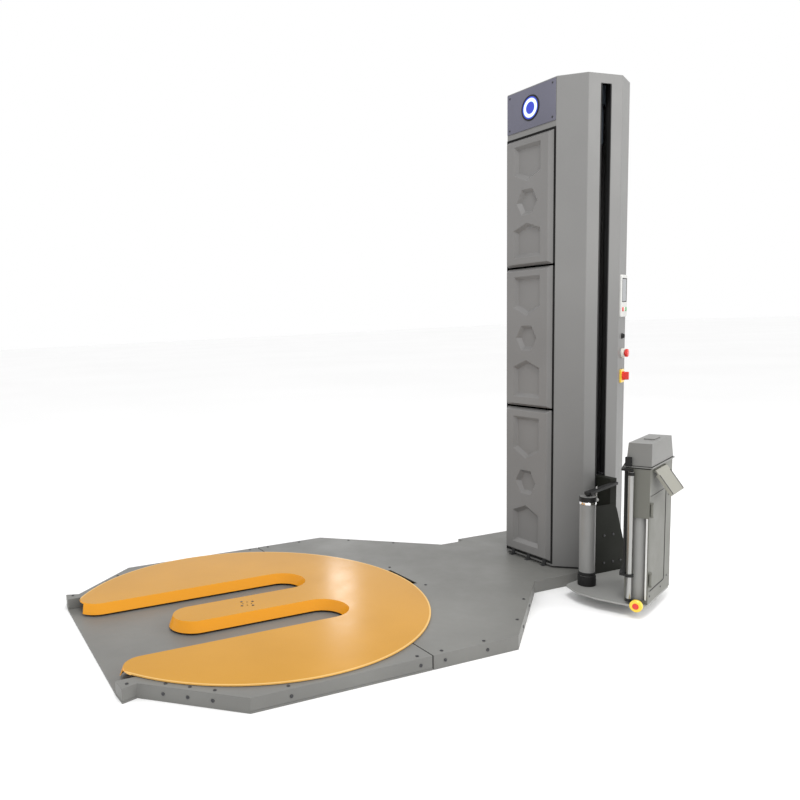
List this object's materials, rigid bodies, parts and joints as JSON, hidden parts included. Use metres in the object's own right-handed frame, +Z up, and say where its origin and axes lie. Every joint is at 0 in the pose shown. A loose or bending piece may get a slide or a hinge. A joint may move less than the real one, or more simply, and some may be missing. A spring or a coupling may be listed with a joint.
{
  "type": "turntable pallet wrapper",
  "caption": "Turntable pallet wrapping machine: low fork-slotted turntable in a floor base, tall mast, and a film carriage that rides up its side.",
  "frame": {"origin": "on the floor, under the turntable's axis", "axes": "+Z up, +X from the turntable towards the mast, -Y the side of the film carriage"},
  "size_m": [2.82, 1.7406, 2.435],
  "materials": {
    "table_yellow": "gloss",
    "hub_screw_steel": "satin",
    "base_grey": "satin",
    "screw_dark": "satin",
    "machined_steel": "satin",
    "belt_black": "matte",
    "motor_grey": "satin",
    "foot_dark": "satin",
    "mast_grey": "satin",
    "panel_grey": "satin",
    "head_grey": "satin",
    "lamp_lens": "gloss",
    "wheel_polymer": "satin",
    "drive_rubber": "matte",
    "control_grey": "satin",
    "collar_light": "satin",
    "button_red": "gloss",
    "switch_yellow": "satin",
    "slider_steel": "satin",
    "deck_grey": "satin",
    "back_dark": "satin",
    "box_grey": "satin",
    "door_grey": "satin",
    "hood_grey": "satin",
    "connector_black": "matte",
    "brake_black": "satin",
    "top_arm_black": "satin",
    "spindle_dark": "satin",
    "knob_white": "gloss",
    "guard_yellow": "satin",
    "flap_light": "satin",
    "stretch_rubber": "matte",
    "dancer_black": "satin",
    "roller_white": "satin"
  },
  "bodies": {
    "base": {"front_floor_plate": "base_grey", "rear_floor_plate": "base_grey", "near_side_box": "base_grey", "far_side_box": "base_grey", "rear_cover": "base_grey", "cover_screws": "screw_dark", "centre_post": "machined_steel", "near_drive_belt": "belt_black", "far_drive_belt": "belt_black", "table_gear_motor": "motor_grey", "mast_foot_plate": "foot_dark", "mast_housing": "mast_grey", "mast_head_panel": "head_grey", "indicator_lamp": "lamp_lens", "front_panel_lower": "panel_grey", "front_panel_middle": "panel_grey", "front_panel_upper": "panel_grey", "guide_columns": "machined_steel", "lift_belt": "belt_black", "lift_brackets": "machined_steel", "lift_gear_motor": "motor_grey", "rear_access_panel": "mast_grey", "operator_panel": "control_grey", "stop_button_collar": "collar_light", "main_switch_plate": "switch_yellow"},
    "turntable": {"turntable_plate": "table_yellow", "turntable_hub": "machined_steel", "hub_screws": "hub_screw_steel", "wheel_forks": "machined_steel"},
    "carriage": {"carriage_slider": "slider_steel", "carriage_deck": "deck_grey", "carriage_back_plate": "back_dark", "carriage_box": "box_grey", "motor_hood": "hood_grey", "hood_connector": "connector_black", "pre_stretch_motor": "motor_grey", "pre_stretch_belt": "belt_black", "spindle_brake": "brake_black", "spindle_top_arm": "top_arm_black", "carriage_screws": "screw_dark"},
    "support_wheel_1": {"support_wheel_1": "wheel_polymer"},
    "support_wheel_2": {"support_wheel_2": "wheel_polymer"},
    "support_wheel_3": {"support_wheel_3": "wheel_polymer"},
    "support_wheel_4": {"support_wheel_4": "wheel_polymer"},
    "near_drive_wheel": {"near_drive_wheel": "drive_rubber"},
    "far_drive_wheel": {"far_drive_wheel": "drive_rubber"},
    "table_motor_pulley": {"table_motor_pulley": "machined_steel"},
    "carriage_door": {"carriage_door": "door_grey"},
    "guard_flap": {"guard_flap": "flap_light"},
    "slow_stretch_roller": {"slow_stretch_roller": "stretch_rubber"},
    "fast_stretch_roller": {"fast_stretch_roller": "stretch_rubber"},
    "dancer_arm": {"dancer_arm": "dancer_black"},
    "dancer_roller": {"dancer_roller": "roller_white"},
    "film_spindle": {"film_spindle": "spindle_dark"},
    "lock_knob": {"lock_knob": "knob_white"},
    "guard_wheel": {"guard_wheel": "guard_yellow"},
    "stop_button": {"stop_button": "button_red"},
    "main_switch_knob": {"main_switch_knob": "button_red"},
    "lift_pulley_lower": {"lift_pulley_lower": "machined_steel"},
    "lift_pulley_upper": {"lift_pulley_upper": "machined_steel"}
  },
  "joints": [
    {"name": "turntable_spin", "type": "hinge", "parent": "base", "child": "turntable", "pos_m": [0, 0, 0.066], "axis": [0, 0, 1], "continuous": true},
    {"name": "support_wheel_1_spin", "type": "hinge", "parent": "turntable", "child": "support_wheel_1", "pos_m": [-0.34402, -0.49131, 0.0303], "axis": [-0.5736, -0.8192, 0], "continuous": true},
    {"name": "support_wheel_2_spin", "type": "hinge", "parent": "turntable", "child": "support_wheel_2", "pos_m": [0.49131, -0.34402, 0.0303], "axis": [0.8192, -0.5736, 0], "continuous": true},
    {"name": "support_wheel_3_spin", "type": "hinge", "parent": "turntable", "child": "support_wheel_3", "pos_m": [0.49131, 0.34402, 0.0303], "axis": [0.8192, 0.5736, 0], "continuous": true},
    {"name": "support_wheel_4_spin", "type": "hinge", "parent": "turntable", "child": "support_wheel_4", "pos_m": [-0.34402, 0.49131, 0.0303], "axis": [-0.5736, 0.8192, 0], "continuous": true},
    {"name": "near_drive_wheel_spin", "type": "hinge", "parent": "base", "child": "near_drive_wheel", "pos_m": [0.60493, -0.60493, 0.033], "axis": [0, 0, 1], "continuous": true},
    {"name": "far_drive_wheel_spin", "type": "hinge", "parent": "base", "child": "far_drive_wheel", "pos_m": [0.60493, 0.60493, 0.033], "axis": [0, 0, 1], "continuous": true},
    {"name": "table_motor_spin", "type": "hinge", "parent": "base", "child": "table_motor_pulley", "pos_m": [1.75, -0.063, 0.04], "axis": [0, 0, 1], "continuous": true},
    {"name": "carriage_lift", "type": "slide", "parent": "base", "child": "carriage", "axis": [0, 0, 1], "range_m": [0, 1.7]},
    {"name": "lift_pulley_lower_spin", "type": "hinge", "parent": "base", "child": "lift_pulley_lower", "pos_m": [1.785, -0.255, 0.105], "axis": [1, 0, 0], "range_deg": [-3418.64, 0]},
    {"name": "lift_pulley_upper_spin", "type": "hinge", "parent": "base", "child": "lift_pulley_upper", "pos_m": [1.785, -0.255, 2.365], "axis": [1, 0, 0], "range_deg": [-3418.64, 0]},
    {"name": "carriage_door_hinge", "type": "hinge", "parent": "carriage", "child": "carriage_door", "pos_m": [1.55108, -0.84089, 0.3], "axis": [0, 0, -1], "range_deg": [0, 110]},
    {"name": "guard_flap_hinge", "type": "hinge", "parent": "carriage", "child": "guard_flap", "pos_m": [1.65712, -0.79144, 0.645], "axis": [-0.9063, -0.4226, 0], "range_deg": [0, 30]},
    {"name": "slow_roller_spin", "type": "hinge", "parent": "carriage", "child": "slow_stretch_roller", "pos_m": [1.62481, -0.74582, 0.3], "axis": [0, 0, 1], "continuous": true},
    {"name": "fast_roller_spin", "type": "hinge", "parent": "carriage", "child": "fast_stretch_roller", "pos_m": [1.55684, -0.77752, 0.3], "axis": [0, 0, 1], "continuous": true},
    {"name": "dancer_arm_swing", "type": "hinge", "parent": "carriage", "child": "dancer_arm", "pos_m": [1.64176, -0.6331, 0.3], "axis": [0, 0, -1], "range_deg": [0, 35], "stiffness_Nm_per_rad": 6, "springref_deg": -11.46},
    {"name": "dancer_roller_spin", "type": "hinge", "parent": "dancer_arm", "child": "dancer_roller", "pos_m": [1.49135, -0.78378, 0.3], "axis": [0, 0, 1], "continuous": true},
    {"name": "film_spindle_spin", "type": "hinge", "parent": "carriage", "child": "film_spindle", "pos_m": [1.52508, -0.51538, 0.3], "axis": [0, 0, 1], "continuous": true},
    {"name": "lock_knob_pull", "type": "slide", "parent": "carriage", "child": "lock_knob", "axis": [0, 0, -1], "range_m": [0, 0.008], "stiffness_N_per_m": 500, "springref_m": -0.004},
    {"name": "guard_wheel_spin", "type": "hinge", "parent": "carriage", "child": "guard_wheel", "pos_m": [1.48198, -0.83229, 0.063], "axis": [0.9063, 0.4226, 0], "continuous": true},
    {"name": "stop_button_press", "type": "slide", "parent": "base", "child": "stop_button", "axis": [-0.5182, 0.8553, 0], "range_m": [0, 0.004], "stiffness_N_per_m": 800, "springref_m": -0.004},
    {"name": "main_switch_turn", "type": "hinge", "parent": "base", "child": "main_switch_knob", "pos_m": [1.9565, -0.2965, 1.008], "axis": [0.5182, -0.8553, 0], "range_deg": [0, 90]}
  ],
  "couplings": [
    {"joint": "support_wheel_1_spin", "follows": "turntable_spin", "ratio": -27.262},
    {"joint": "support_wheel_2_spin", "follows": "turntable_spin", "ratio": -27.262},
    {"joint": "support_wheel_3_spin", "follows": "turntable_spin", "ratio": -27.262},
    {"joint": "support_wheel_4_spin", "follows": "turntable_spin", "ratio": -27.262},
    {"joint": "near_drive_wheel_spin", "follows": "turntable_spin", "ratio": -13.25},
    {"joint": "far_drive_wheel_spin", "follows": "turntable_spin", "ratio": -13.25},
    {"joint": "table_motor_spin", "follows": "turntable_spin", "ratio": -18.771},
    {"joint": "lift_pulley_lower_spin", "follows": "carriage_lift", "rad_per_m": -35.088},
    {"joint": "lift_pulley_upper_spin", "follows": "carriage_lift", "rad_per_m": -35.088},
    {"joint": "fast_roller_spin", "follows": "slow_roller_spin", "ratio": 2.5}
  ]
}
